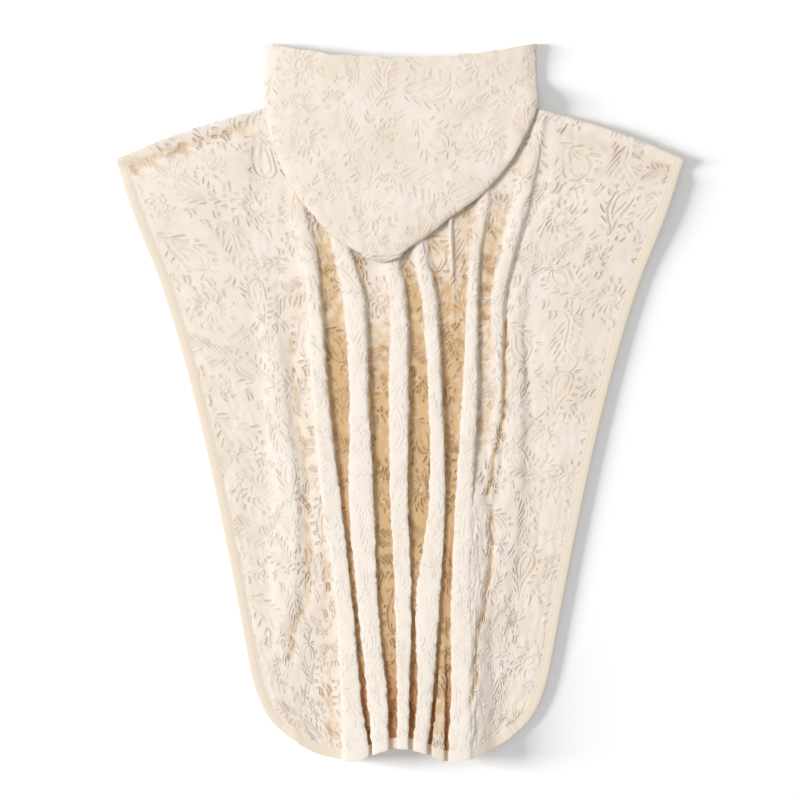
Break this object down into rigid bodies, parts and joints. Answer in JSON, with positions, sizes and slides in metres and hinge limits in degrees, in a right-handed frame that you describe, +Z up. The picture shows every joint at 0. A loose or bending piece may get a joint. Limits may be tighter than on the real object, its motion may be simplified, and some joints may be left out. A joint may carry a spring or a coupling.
{
  "type": "bath poncho",
  "caption": "Hooded towelling bath poncho laid flat on its front: hood thrown back, rounded lower corners, bound edge, lower half drawn together into deep lengthwise folds",
  "frame": {"origin": "on the surface the poncho lies on, under the middle of its bounding box", "axes": "+X across the poncho to the right as seen from above, +Y from the hem towards the hood, +Z up from the surface"},
  "size_m": [0.7406, 0.932, 0.0294],
  "materials": {
    "velour": "cut-pile cotton velour with a tone-on-tone sculpted flower relief",
    "binding": "plain low-pile binding with a stitched line"
  },
  "bodies": {
    "root": {"back_panel": "velour", "front_panel": "velour", "hood_upper": "velour", "hood_lower": "velour", "hood_front": "velour", "back_binding": "binding", "front_binding": "binding"}
  },
  "joints": []
}
